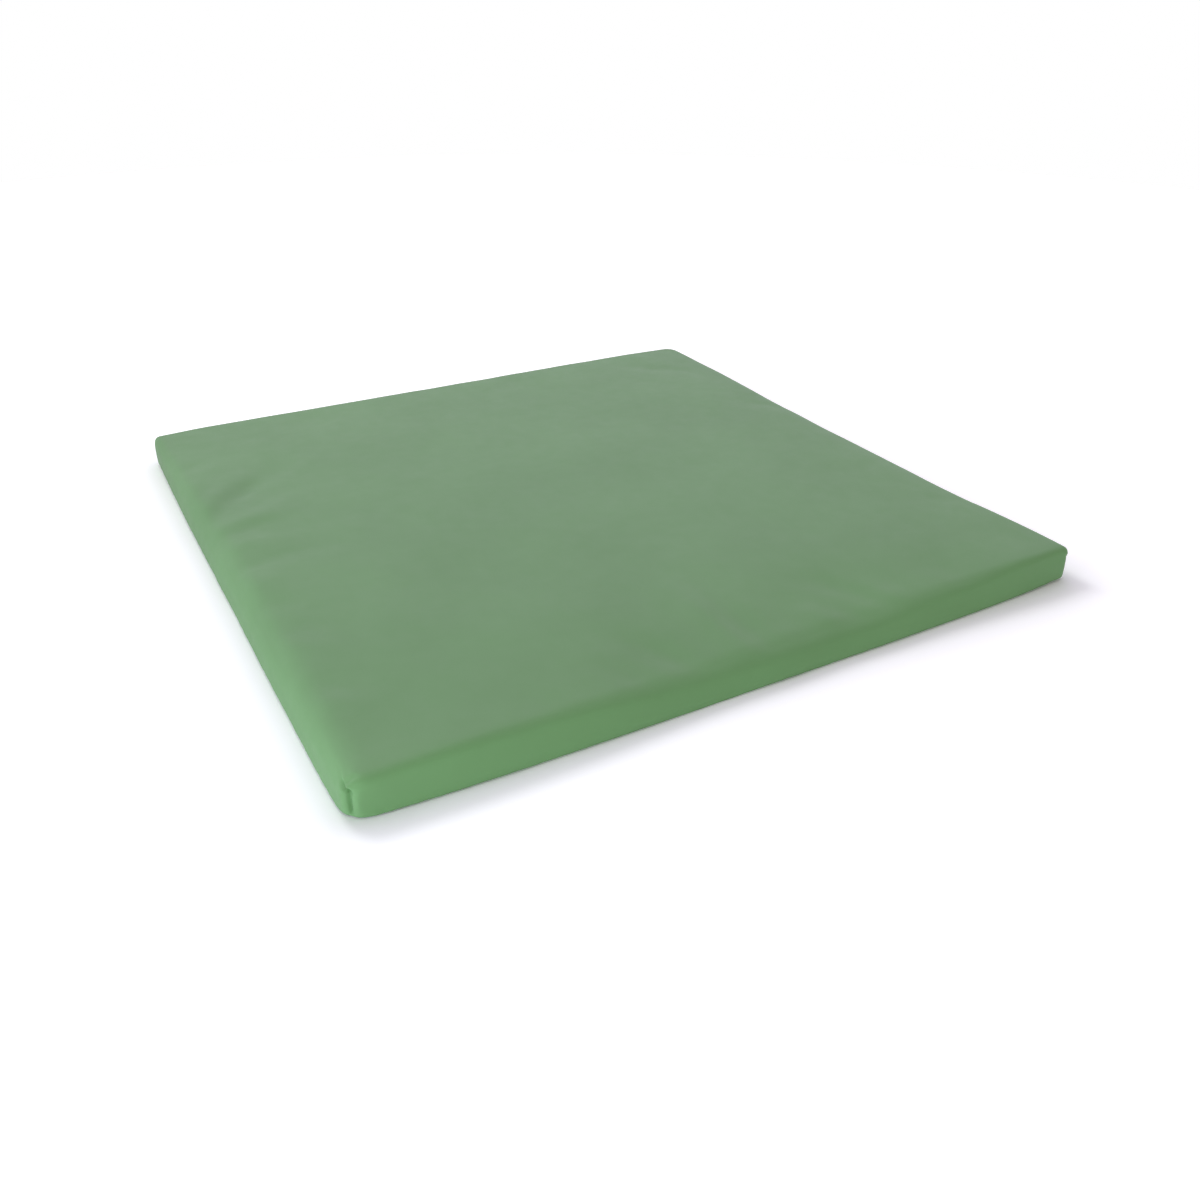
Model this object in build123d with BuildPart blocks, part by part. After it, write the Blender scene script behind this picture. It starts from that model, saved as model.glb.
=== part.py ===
from build123d import *
import os

# Square landing mat: a foam block in a zipped leathercloth cover. Millimetres, Z up.
# The origin is the centre of the underside. -Y is the front wall, +Y the back wall with
# the zip, -X the left wall and +X the right wall. The zip is drawn closed.

# Driving dimensions of the mat
side = 1000.0
thickness = 50.0
gauge = 1.0
corner_r = 18.0
top_r = 12.0
bottom_r = 5.0
fit_gap = 0.2

# Base panel and the seam round it
base_inset = 8.0
seam_gap = 0.2
seam_chamfer = 0.5
base_thread_r = 0.2
base_thread_height = 0.25

# Corner seams
corner_thread_r = 0.3
corner_groove_r = 0.45
corner_seam_low = 6.0
corner_seam_high = thickness - top_r

# Zip: its place in the back wall, its tapes and its chain
zip_height = 25.0
zip_length = 920.0
zip_window = 14.0
strip_length = 940.0
hem_depth = 10.0
tape_gauge = 0.6
tape_width = 14.0
tape_split = 1.8
tape_overrun = 6.0
coil_width = 2.9
coil_depth = 2.0
coil_edge_r = 0.65
coil_split = 0.1
stitch_r = 0.25
stitch_groove_r = 0.4
stitch_margin = 2.6
patch_length = 18.0
patch_height = 22.0
patch_corner = 2.0

# Slider, in its own length along X, its width along Z and its depth along Y
slider_length = 12.0
slider_nose_width = 9.4
slider_tail_width = 8.6
plate_gauge = 1.1
plate_edge_r = 0.35
plate_clearance = 0.3
slider_corner_r = 1.2
channel_width = 6.5
post_length = 3.0
post_width = 1.0
post_setback = 1.0
bridge_length = 8.0
bridge_width = 2.2
bridge_rise = 3.6
bridge_gauge = 1.1
bridge_opening = 4.7

# Pull tab
tab_length = 25.0
tab_width = 6.6
tab_gauge = 1.2
tab_corner_r = 1.6
tab_eye_width = 3.2
tab_eye_length = 4.0
tab_bar_r = 0.7
tab_hole_r = 1.6

# Stops
stop_length = 3.0
stop_width = 2.6
stop_wall = 0.6
stop_grip = 0.8
stop_rise = 1.6
stop_edge_r = 0.4
stop_gap = 0.3

# Worked out from the above
half = side / 2
base_side = side - 2 * base_inset
base_corner = corner_r - base_inset
window_low = zip_height - zip_window / 2
window_high = zip_height + zip_window / 2
hem_inner = half - 2 * gauge
hem_middle = hem_inner + gauge / 2
wall_cut = 2 * (half - hem_inner)
edge_cut = 2 * base_inset
tape_back = hem_inner - tape_gauge
coil_face = hem_inner + coil_depth
top_plate_low = coil_face + plate_clearance
top_plate_high = top_plate_low + plate_gauge
bottom_plate_high = tape_back - plate_clearance
bottom_plate_low = bottom_plate_high - plate_gauge
foam_back = bottom_plate_low - 2 * fit_gap
patch_start = zip_length / 2 - patch_length + tape_overrun
stop_outer = patch_start - fit_gap
chain_end = stop_outer - stop_length
slider_x = -(chain_end - stop_gap - slider_length / 2)
slider_nose = slider_x - slider_length / 2
pivot_y = top_plate_high + (bridge_rise - bridge_gauge) / 2

os.makedirs("parts", exist_ok=True)


def slab(length, width, low, high, corner, top, bottom):
    """A flat block with round vertical corners and round top and bottom edges."""
    with BuildPart() as block:
        with BuildSketch(Plane.XY.offset(low)):
            RectangleRounded(length, width, corner)
        extrude(amount=high - low)
        fillet(block.edges().group_by(Axis.Z)[-1], top)
        fillet(block.edges().group_by(Axis.Z)[0], bottom)
    return block.part


cover_outside = slab(side, side, 0, thickness, corner_r, top_r, bottom_r)
cover_inside = slab(
    side - 2 * gauge,
    side - 2 * gauge,
    gauge,
    thickness - gauge,
    corner_r - gauge,
    top_r - gauge,
    bottom_r - gauge,
)

# Where the four corner seams run down the cover
seam_inset = corner_r - corner_r / 2**0.5
corner_names = {
    "front_left": (-1, -1),
    "front_right": (1, -1),
    "back_right": (1, 1),
    "back_left": (-1, 1),
}
corner_points = [
    (x * (half - seam_inset), y * (half - seam_inset)) for x, y in corner_names.values()
]

# The foam block fills the cover and stops short of the zip's slider
foam_margin = gauge + fit_gap
foam_width = foam_back + half - foam_margin
with BuildPart() as foam_core:
    with BuildSketch(Plane.XY.offset(foam_margin)):
        with Locations((0, (foam_back - half + foam_margin) / 2)):
            RectangleRounded(side - 2 * foam_margin, foam_width, corner_r - foam_margin)
    extrude(amount=thickness - 2 * foam_margin)
    fillet(foam_core.edges().group_by(Axis.Z)[-1], top_r - foam_margin)
    fillet(foam_core.edges().group_by(Axis.Z)[0], bottom_r - foam_margin)
foam_core.part.label = "foam_core"
export_step(foam_core.part, "parts/foam_core.step")

# One sheet over the top and down the walls, turned under to the base seam
with BuildPart() as cover_top_sheet:
    add(cover_outside)
    add(cover_inside, mode=Mode.SUBTRACT)
    # opening for the base panel, with the outer half of the seam's groove
    with BuildSketch():
        RectangleRounded(base_side, base_side, base_corner)
    extrude(amount=gauge, mode=Mode.SUBTRACT)
    with BuildSketch():
        RectangleRounded(
            base_side + 2 * seam_chamfer,
            base_side + 2 * seam_chamfer,
            base_corner + seam_chamfer,
        )
    extrude(amount=seam_chamfer, taper=45, mode=Mode.SUBTRACT)
    # turned-in hem along the top of the zip, inside the wall
    with BuildSketch(Plane.XY.offset(window_high)):
        with Locations((0, hem_middle)):
            Rectangle(strip_length, gauge)
    extrude(amount=hem_depth)
    # window for the zip, and the room below it for the lower strip
    with BuildSketch(Plane.XY.offset(window_low)):
        with Locations((0, half)):
            Rectangle(zip_length, wall_cut)
    extrude(amount=zip_window, mode=Mode.SUBTRACT)
    with BuildSketch():
        with Locations((0, half)):
            Rectangle(strip_length, edge_cut)
    extrude(amount=window_low, mode=Mode.SUBTRACT)
    # grooves for the corner seams and for the stitching above the zip
    with BuildSketch(Plane.XY.offset(corner_seam_low)):
        with Locations(*corner_points):
            Circle(corner_groove_r)
    extrude(amount=corner_seam_high - corner_seam_low, mode=Mode.SUBTRACT)
    with BuildSketch(Plane.YZ):
        with Locations((half, window_high + stitch_margin)):
            Circle(stitch_groove_r)
    extrude(amount=strip_length / 2, both=True, mode=Mode.SUBTRACT)
cover_top_sheet.part.label = "cover_top_sheet"
export_step(cover_top_sheet.part, "parts/cover_top_sheet.step")

# The strip of back wall between the zip and the base panel
with BuildPart() as back_wall_lower_strip:
    add(cover_outside)
    add(cover_inside, mode=Mode.SUBTRACT)
    with BuildSketch():
        with Locations((0, half)):
            Rectangle(strip_length - 2 * fit_gap, edge_cut)
    extrude(amount=window_low, mode=Mode.INTERSECT)
    with BuildSketch(Plane.XY.offset(window_low - hem_depth)):
        with Locations((0, hem_middle)):
            Rectangle(strip_length - 2 * fit_gap, gauge)
    extrude(amount=hem_depth)
    with BuildSketch():
        Rectangle(side, base_side + 2 * seam_chamfer)
    extrude(amount=seam_chamfer, taper=45, mode=Mode.SUBTRACT)
    with BuildSketch(Plane.YZ):
        with Locations((half, window_low - stitch_margin)):
            Circle(stitch_groove_r)
    extrude(amount=strip_length / 2, both=True, mode=Mode.SUBTRACT)
back_wall_lower_strip.part.label = "back_wall_lower_strip"
export_step(back_wall_lower_strip.part, "parts/back_wall_lower_strip.step")

# Base panel: a flat square of the same sheet, with the inner half of the seam's groove
panel_side = base_side - 2 * seam_gap
with BuildPart() as cover_base_panel:
    with BuildSketch():
        RectangleRounded(panel_side, panel_side, base_corner - seam_gap)
    extrude(amount=gauge)
    chamfer(cover_base_panel.edges().group_by(Axis.Z)[0], seam_chamfer)
cover_base_panel.part.label = "cover_base_panel"
export_step(cover_base_panel.part, "parts/cover_base_panel.step")

# Thread of the base seam, in the groove between the walls and the base panel
thread_half = (base_side - seam_gap) / 2
thread_corners = [(x * thread_half, y * thread_half) for x, y in corner_names.values()]
with BuildPart() as base_seam_thread:
    with BuildLine(Plane.XY.offset(base_thread_height)) as ring:
        FilletPolyline(*thread_corners, radius=base_corner, close=True)
    with BuildSketch(Plane(ring.line @ 0, z_dir=ring.line % 0)):
        Circle(base_thread_r)
    sweep(path=ring.line)
base_seam_thread.part.label = "base_seam_thread"
export_step(base_seam_thread.part, "parts/base_seam_thread.step")

# Threads of the four corner seams
for name, (x, y) in corner_names.items():
    with BuildPart() as corner_seam_thread:
        with BuildSketch(Plane.XY.offset(corner_seam_low)):
            with Locations((x * (half - seam_inset), y * (half - seam_inset))):
                Circle(corner_thread_r)
        extrude(amount=corner_seam_high - corner_seam_low)
    corner_seam_thread.part.label = f"corner_seam_thread_{name}"
    export_step(corner_seam_thread.part, f"parts/corner_seam_thread_{name}.step")

# What the zip has twice, above and below its centre line
for name, turn in {"upper": 1, "lower": -1}.items():
    # woven tape, sewn inside the hem
    with BuildPart() as zip_tape:
        with BuildSketch(Plane.XZ.offset(-tape_back)):
            with Locations((0, zip_height + turn * (tape_split + tape_width) / 2)):
                Rectangle(zip_length + 2 * tape_overrun, tape_width)
        extrude(amount=-tape_gauge)
    zip_tape.part.label = f"zip_tape_{name}"
    export_step(zip_tape.part, f"parts/zip_tape_{name}.step")

    # the outer shape of one row of the nylon coil, from the bottom stop to the slider's post
    coil_start = slider_nose + post_setback + post_length + stop_gap
    coil_length = chain_end - stop_gap - coil_start
    with BuildPart() as zip_coil:
        with BuildSketch(Plane.YZ.offset(coil_start)):
            centre = zip_height + turn * (coil_split + coil_width) / 2
            with Locations((hem_inner + coil_depth / 2, centre)):
                Rectangle(coil_depth, coil_width)
        extrude(amount=coil_length)
        fillet(zip_coil.edges().filter_by(Axis.X).group_by(Axis.Y)[-1], coil_edge_r)
    zip_coil.part.label = f"zip_coil_{name}"
    export_step(zip_coil.part, f"parts/zip_coil_{name}.step")

    # the row of stitching that holds the tape to the hem
    stitch_length = 2 * (patch_start - fit_gap)
    row = zip_height + turn * (zip_window / 2 + stitch_margin)
    with BuildPart() as zip_stitch:
        with BuildSketch(Plane.YZ.offset(-stitch_length / 2)):
            with Locations((half, row)):
                Circle(stitch_r)
        extrude(amount=stitch_length)
    zip_stitch.part.label = f"zip_stitch_{name}"
    export_step(zip_stitch.part, f"parts/zip_stitch_{name}.step")

# Patches sewn over the two ends of the zip
for name, turn in {"left": -1, "right": 1}.items():
    with BuildPart() as zip_end_patch:
        with BuildSketch(Plane.XZ.offset(-half)):
            with Locations((turn * (patch_start + patch_length / 2), zip_height)):
                RectangleRounded(patch_length, patch_height, patch_corner)
        extrude(amount=-gauge)
    zip_end_patch.part.label = f"zip_end_patch_{name}"
    export_step(zip_end_patch.part, f"parts/zip_end_patch_{name}.step")

# Top stops: one clip on each tape's edge, just beyond the slider when the zip is closed
stop_low = tape_back - stop_grip
stop_depth = stop_grip + tape_gauge + stop_rise
with BuildPart() as zip_top_stops:
    with BuildSketch(Plane.XZ.offset(-stop_low)):
        with Locations((-stop_outer + stop_length / 2, zip_height)):
            with GridLocations(0, tape_split - 2 * stop_wall + stop_width, 1, 2):
                Rectangle(stop_length, stop_width)
    extrude(amount=-stop_depth)
    fillet(zip_top_stops.edges().group_by(Axis.Y)[-1], stop_edge_r)
    with BuildSketch(Plane.XZ.offset(-tape_back)):
        with Locations((-stop_outer + stop_length / 2, zip_height)):
            with GridLocations(0, tape_split + 2 * stop_width, 1, 2):
                Rectangle(stop_length, 2 * stop_width)
    extrude(amount=-tape_gauge, mode=Mode.SUBTRACT)
zip_top_stops.part.label = "zip_top_stops"
export_step(zip_top_stops.part, "parts/zip_top_stops.step")

# Bottom stop: one clip that holds both tapes together
with BuildPart() as zip_bottom_stop:
    with BuildSketch(Plane.XZ.offset(-stop_low)):
        with Locations((stop_outer - stop_length / 2, zip_height)):
            Rectangle(stop_length, tape_split + 2 * stop_width)
    extrude(amount=-stop_depth)
    fillet(zip_bottom_stop.edges().group_by(Axis.Y)[-1], stop_edge_r)
    with BuildSketch(Plane.XZ.offset(-tape_back)):
        with Locations((stop_outer - stop_length / 2, zip_height)):
            with GridLocations(0, tape_split + 2 * stop_width, 1, 2):
                Rectangle(stop_length, 2 * stop_width)
    extrude(amount=-tape_gauge, mode=Mode.SUBTRACT)
zip_bottom_stop.part.label = "zip_bottom_stop"
export_step(zip_bottom_stop.part, "parts/zip_bottom_stop.step")

# Slider: two plates joined by the post that parts the coils, with a bridge for the tab
slider_tail = slider_x + slider_length / 2
slider_corners = [
    (slider_nose, zip_height - slider_nose_width / 2),
    (slider_x, zip_height - slider_nose_width / 2),
    (slider_tail, zip_height - slider_tail_width / 2),
    (slider_tail, zip_height + slider_tail_width / 2),
    (slider_x, zip_height + slider_nose_width / 2),
    (slider_nose, zip_height + slider_nose_width / 2),
]


def slider_outline(y):
    """The slider's plan at one depth: wide at the nose and narrower at the tail."""
    with BuildSketch(Plane.XZ.offset(-y)) as outline:
        with BuildLine():
            Polyline(*slider_corners, close=True)
        make_face()
        fillet(outline.vertices(), slider_corner_r)
    return outline.sketch


flange_low = hem_inner + plate_clearance
inner_plan = slider_outline(bottom_plate_low)
outer_plan = slider_outline(flange_low)
with BuildPart() as zip_slider_body:
    # outer plate with its two side flanges over the coils
    extrude(outer_plan, amount=-(top_plate_high - flange_low))
    fillet(zip_slider_body.edges().group_by(Axis.Y)[-1], plate_edge_r)
    with BuildSketch(Plane.XZ.offset(-flange_low)):
        with Locations((slider_x, zip_height)):
            Rectangle(2 * slider_length, channel_width)
    extrude(amount=-(top_plate_low - flange_low), mode=Mode.SUBTRACT)
    # inner plate, behind the tapes
    extrude(inner_plan, amount=-plate_gauge)
    # post between the tapes
    with BuildSketch(Plane.XZ.offset(-bottom_plate_high)):
        with Locations((slider_nose + post_setback + post_length / 2, zip_height)):
            SlotOverall(post_length, post_width)
    extrude(amount=-(top_plate_low - bottom_plate_high))
    # arched bridge
    with BuildSketch(Plane.XY.offset(zip_height)):
        with BuildLine():
            Polyline(
                (slider_x - bridge_length / 2, top_plate_high),
                (slider_x - bridge_length / 2 + bridge_gauge, top_plate_high + bridge_rise),
                (slider_x + bridge_length / 2 - bridge_gauge, top_plate_high + bridge_rise),
                (slider_x + bridge_length / 2, top_plate_high),
                close=True,
            )
        make_face()
        with Locations((slider_x, top_plate_high)):
            Rectangle(
                bridge_opening,
                2 * (bridge_rise - bridge_gauge),
                mode=Mode.SUBTRACT,
            )
    extrude(amount=bridge_width / 2, both=True)
zip_slider_body.part.label = "zip_slider_body"
export_step(zip_slider_body.part, "parts/zip_slider_body.step")

# Pull tab: a flat tab whose round bar turns under the bridge, drawn lying along the zip
with BuildPart() as zip_pull_tab:
    with BuildSketch(Plane.XZ.offset(-(pivot_y - tab_gauge / 2))):
        with Locations((slider_x + tab_length / 2 - tab_bar_r, zip_height)):
            RectangleRounded(tab_length, tab_width, tab_corner_r)
        with Locations((slider_x + tab_length - tab_width / 2, zip_height)):
            Circle(tab_hole_r, mode=Mode.SUBTRACT)
        with Locations((slider_x + tab_eye_length / 2, zip_height)):
            Rectangle(tab_eye_length + 2 * tab_bar_r, tab_eye_width, mode=Mode.SUBTRACT)
    extrude(amount=-tab_gauge)
    with BuildSketch(Plane.XY.offset(zip_height)):
        with Locations((slider_x, pivot_y)):
            Circle(tab_bar_r)
    extrude(amount=tab_width / 2 - tab_bar_r, both=True)
zip_pull_tab.part.label = "zip_pull_tab"
export_step(zip_pull_tab.part, "parts/zip_pull_tab.step")
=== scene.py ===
import math

import bmesh
import bpy
import numpy as np
from mathutils import Matrix, Vector
from mathutils.bvhtree import BVHTree


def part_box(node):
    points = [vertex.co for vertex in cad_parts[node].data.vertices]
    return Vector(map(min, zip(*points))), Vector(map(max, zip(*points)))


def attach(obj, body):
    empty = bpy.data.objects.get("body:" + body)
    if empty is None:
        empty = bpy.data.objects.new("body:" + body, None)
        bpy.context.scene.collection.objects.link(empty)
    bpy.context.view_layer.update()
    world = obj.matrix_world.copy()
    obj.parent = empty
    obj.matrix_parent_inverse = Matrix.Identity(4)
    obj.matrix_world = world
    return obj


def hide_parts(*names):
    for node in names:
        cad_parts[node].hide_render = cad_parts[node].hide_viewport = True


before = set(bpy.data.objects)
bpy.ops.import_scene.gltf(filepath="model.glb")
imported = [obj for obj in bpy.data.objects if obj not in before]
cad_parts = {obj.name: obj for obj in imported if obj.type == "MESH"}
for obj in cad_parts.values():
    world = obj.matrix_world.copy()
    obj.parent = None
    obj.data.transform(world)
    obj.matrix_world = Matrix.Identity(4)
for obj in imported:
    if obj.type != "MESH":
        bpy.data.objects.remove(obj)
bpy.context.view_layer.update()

# Shapes are worked out in millimetres in the CAD's frame, and written to the meshes in metres.
MM = 0.001


def mm(vector):
    return np.array(vector, float) / MM


# Driving sizes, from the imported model
COVER_HIGH = mm(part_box("cover_top_sheet")[1])
STRIP_LOW, STRIP_HIGH = (mm(corner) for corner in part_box("back_wall_lower_strip"))
PATCH_LOW, PATCH_HIGH = (mm(corner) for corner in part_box("zip_end_patch_right"))
HALF = COVER_HIGH[0]
THICK = COVER_HIGH[2]
PANEL_HALF = mm(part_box("cover_base_panel")[1])[0]
SEAM_INSET = HALF - PANEL_HALF
ZIP_HEIGHT = (PATCH_LOW[2] + PATCH_HIGH[2]) / 2
WINDOW_LOW = STRIP_HIGH[2]
WINDOW_HIGH = 2 * ZIP_HEIGHT - WINDOW_LOW
WINDOW_HALF = PATCH_HIGH[0] - 6.0

# How the soft cover sits on the foam
SHEET = 0.9
SEAM_GAP = 0.3
FOAM_GAP = 2.8
FOAM_CREASE = 0.75
FOAM_ROUNDER = 14.0
TOP_RADIUS = 9.5
BOTTOM_RADIUS = 3.6
FLAT_INSET = 32.0
CROWD_REACH = 60
WALL_REACH = 60
# Each corner: where it is, how round, how far it is drawn out or in and lifted, how much of the
# top edge's roundness it takes away, and how strong the tuck at its seam is
CORNERS = {
    "front_left": {
        "at": (-1, -1), "radius": 29.0, "shift": (-1.2, -4.5), "lift": 1.0, "sharp": 0.0, "tuck": 1.0,
    },
    "front_right": {
        "at": (1, -1), "radius": 7.0, "shift": (-1.3, 4.9), "lift": 2.8, "sharp": 0.5, "tuck": 0.1,
    },
    "back_right": {
        "at": (1, 1), "radius": 27.0, "shift": (0.0, 0.0), "lift": 0.0, "sharp": 0.0, "tuck": 0.5,
    },
    "back_left": {
        "at": (-1, 1), "radius": 10.0, "shift": (0.0, 0.0), "lift": 0.0, "sharp": 0.3, "tuck": 0.3,
    },
}
CORNER_DROP = 3.6
CORNER_REACH = 75.0
SEAM_REACH = 16
SEAM_DEPTH = 3.4
SEAM_WIDTH = 2.0
SEAM_FADES, SEAM_ENDS = 18, 12
LOBE_HEIGHT, LOBE_WIDTH, LOBE_PLACE = 2.8, 6, 9
TUCK_DEPTH, TUCK_DROP = 5.6, 16
HEM_DEPTH = 2.2
STITCH_SLANT = 0.10

# How the cover is draped
DRAPE_STEPS = 24
DRAPE_FOLDS = 0.72
SPARE_FOLDS = 2.0
CONTACT_GAP = 0.0008
HELD_BELOW = 1.0
ZIP_MARGIN = 12
DRAPE_REACH = 6.0
SOFTENED_ABOVE = 18
# numbers that mark the cover's faces, before they become pieces of their own
STRIP_MARK, WINDOW_MARK = 1, 2

# Camera, floor and light
CAMERA_PLACE = (-0.6798, -1.3229, 0.7203)
CAMERA_HEADING, CAMERA_DOWN, CAMERA_ROLL = (math.radians(turn) for turn in (60.86, 30.29, 0.23))
CAMERA_LENS = 32.96
FLOOR_RADIUS = 3500.0
FLOOR_DROP = 0.4
FLOOR_SIDES = 96
FLOOR_GREY = (0.78, 0.78, 0.79)
# points of a curve, its first and last and then those between: the floor's colour by distance from the
# mat in metres, darker close to it as a painted shadow
FLOOR_PAINTED_SHADOW_CURVE = ((0.0, 0.37), (1.0, 1.0), (0.05, 0.44), (0.15, 0.53), (0.4, 0.7))
# the floor's colour for the camera, whose tint shows in the shadows near the mat, real and painted
FLOOR_GAIN = (2.71, 2.87, 2.79)
SKY_TOWARD = (0.40, 0.89, 0.24)
SKY_LEAST = -0.2
SKY_CURVE = (
    (0.0, 0.0), (1.0, 1.0), (0.333, 0.3), (0.583, 0.52), (0.79, 0.68), (0.896, 0.78), (0.958, 0.93),
)
SKY_DARK = (0.27, 0.20, 0.17, 1)
SKY_BRIGHT = (1.34, 1.24, 1.55, 1)
# name, place, size, watts, colour and where it points
LIGHTS = (
    ("key", (-0.6, 2.1, 2.6), 1.3, 34, (1.0, 0.99, 0.97), (0, 0, 0)),
    ("left_fill", (-2.2, -0.6, 0.34), 0.7, 18.5, (0.98, 1.0, 1.25), (-0.5, -0.1, 0)),
    ("front_fill", (-1.2, -1.95, 0.22), 0.8, 17.3, (0.91, 1.05, 1.09), (-0.3, -0.4, 0)),
    ("right_fill", (1.9, -1.6, 0.25), 0.6, 9.5, (0.95, 1.0, 1.0), (0.4, -0.4, 0)),
)


# ---------------------------------------------------------------- small helpers

def smooth(low, high, x):
    """0 below low, 1 above high and a smooth step between."""
    t = np.clip((np.asarray(x, float) - low) / (high - low), 0, 1)
    return t * t * (3 - 2 * t)


def bell(x, width):
    return np.exp(-(np.asarray(x, float) / width) ** 2)


def ripple(x, y, wavelength, seed, waves=9):
    """Smooth noise between about -1 and 1: waves of about one length and every direction."""
    draw = np.random.default_rng(seed)
    total = np.zeros_like(np.asarray(x, float))
    for _ in range(waves):
        length = wavelength * draw.uniform(0.7, 1.5)
        turn = draw.uniform(0, 2 * math.pi)
        phase = draw.uniform(0, 2 * math.pi)
        along = x * math.cos(turn) + y * math.sin(turn)
        total += np.sin(2 * math.pi * along / length + phase)
    return total / math.sqrt(waves)


def new_object(name, vertices, faces):
    """A mesh object from points in millimetres."""
    mesh = bpy.data.meshes.new(name)
    mesh.from_pydata([tuple(v) for v in np.asarray(vertices, float) * MM], [], faces)
    shape = bmesh.new()
    shape.from_mesh(mesh)
    bmesh.ops.recalc_face_normals(shape, faces=shape.faces)
    shape.to_mesh(mesh)
    shape.free()
    mesh.shade_smooth()
    made = bpy.data.objects.new(name, mesh)
    bpy.context.scene.collection.objects.link(made)
    return made


def points_of(obj):
    flat = np.empty(len(obj.data.vertices) * 3, np.float32)
    obj.data.vertices.foreach_get("co", flat)
    return flat.reshape(-1, 3).astype(float) / MM


def set_points(obj, points):
    obj.data.vertices.foreach_set("co", (points * MM).astype(np.float32).ravel())
    obj.data.update()


def normals_of(obj):
    flat = np.empty(len(obj.data.vertices) * 3, np.float32)
    obj.data.vertices.foreach_get("normal", flat)
    return flat.reshape(-1, 3).astype(float)


def apply_modifiers(obj):
    graph = bpy.context.evaluated_depsgraph_get()
    baked = bpy.data.meshes.new_from_object(obj.evaluated_get(graph))
    obj.modifiers.clear()
    old = obj.data
    obj.data = baked
    bpy.data.meshes.remove(old)


def finish_piece(obj, body, slot, material, *nodes):
    """Gives a piece its material and body, and hides the CAD nodes it stands for."""
    obj.data.materials.clear()
    obj.data.materials.append(material)
    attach(obj, body)
    if nodes:
        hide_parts(*nodes)
    return obj


# ---------------------------------------------------------------- camera, light, floor

def make_camera():
    camera = bpy.data.objects.new("camera", bpy.data.cameras.new("camera"))
    bpy.context.scene.collection.objects.link(camera)
    level = math.cos(CAMERA_DOWN)
    ahead = Vector(
        (math.cos(CAMERA_HEADING) * level, math.sin(CAMERA_HEADING) * level, -math.sin(CAMERA_DOWN))
    )
    right = Vector((math.sin(CAMERA_HEADING), -math.cos(CAMERA_HEADING), 0))
    up = right.cross(ahead)
    turned_right = math.cos(CAMERA_ROLL) * right + math.sin(CAMERA_ROLL) * up
    turned_up = math.cos(CAMERA_ROLL) * up - math.sin(CAMERA_ROLL) * right
    facing = Matrix((turned_right, turned_up, -ahead)).transposed().to_4x4()
    camera.matrix_world = Matrix.Translation(CAMERA_PLACE) @ facing
    camera.data.sensor_width = 36.0
    camera.data.lens = CAMERA_LENS
    camera.data.clip_start = 0.01
    camera.data.clip_end = 100
    bpy.context.scene.camera = camera


def area_light(name, place, size, watts, colour, aim):
    lamp = bpy.data.objects.new(name, bpy.data.lights.new(name, "AREA"))
    bpy.context.scene.collection.objects.link(lamp)
    lamp.data.shape = "DISK"
    lamp.data.size = size
    lamp.data.energy = watts
    lamp.data.color = colour
    lamp.visible_glossy = False
    lamp.location = place
    lamp.rotation_euler = (Vector(aim) - Vector(place)).to_track_quat("-Z", "Y").to_euler()


def seen_by_camera(tree, dark, light):
    """A colour that is brighter where the camera itself looks at it, for a white backdrop."""
    mix = tree.nodes.new("ShaderNodeMix")
    mix.data_type = "RGBA"
    mix.inputs["A"].default_value = (*dark, 1)
    mix.inputs["B"].default_value = (*light, 1)
    path = tree.nodes.new("ShaderNodeLightPath")
    tree.links.new(path.outputs["Is Camera Ray"], mix.inputs["Factor"])
    return mix


def float_curve(tree, first, last, *between):
    """A curve through points whose first and last are given before the rest."""
    curve = tree.nodes.new("ShaderNodeFloatCurve")
    points = curve.mapping.curves[0].points
    points[0].location, points[1].location = first, last
    for place in between:
        points.new(*place)
    curve.mapping.update()
    return curve


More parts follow.
